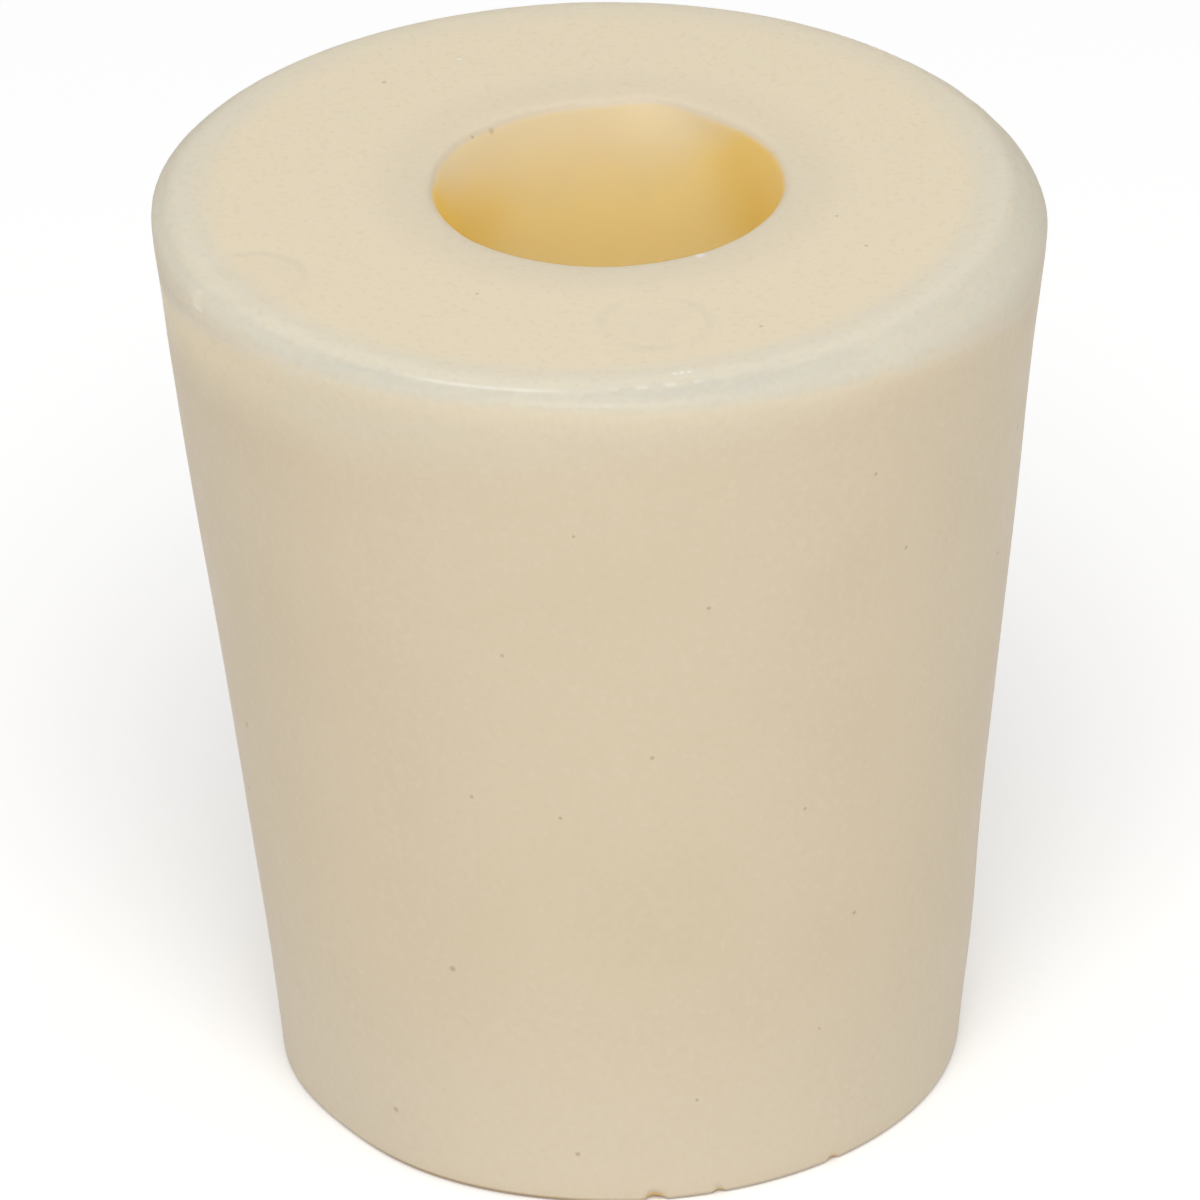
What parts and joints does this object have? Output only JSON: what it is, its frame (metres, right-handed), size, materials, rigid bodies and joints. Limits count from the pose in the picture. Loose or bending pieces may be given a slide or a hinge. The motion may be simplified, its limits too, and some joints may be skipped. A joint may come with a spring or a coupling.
{
  "type": "rubber stopper",
  "caption": "Tapered rubber stopper with a wide bore from end to end, pushed into the neck of a flask or jar to seal it around a tube.",
  "frame": {"origin": "centre of the small end, which the stopper stands on", "axes": "+Z along the taper and the bore, from the small end up to the wide end; the picture looks along +Y from above"},
  "size_m": [0.0238, 0.0237, 0.026],
  "materials": {
    "gum_rubber": "satin"
  },
  "bodies": {
    "root": {"stopper": "gum_rubber"}
  },
  "joints": []
}
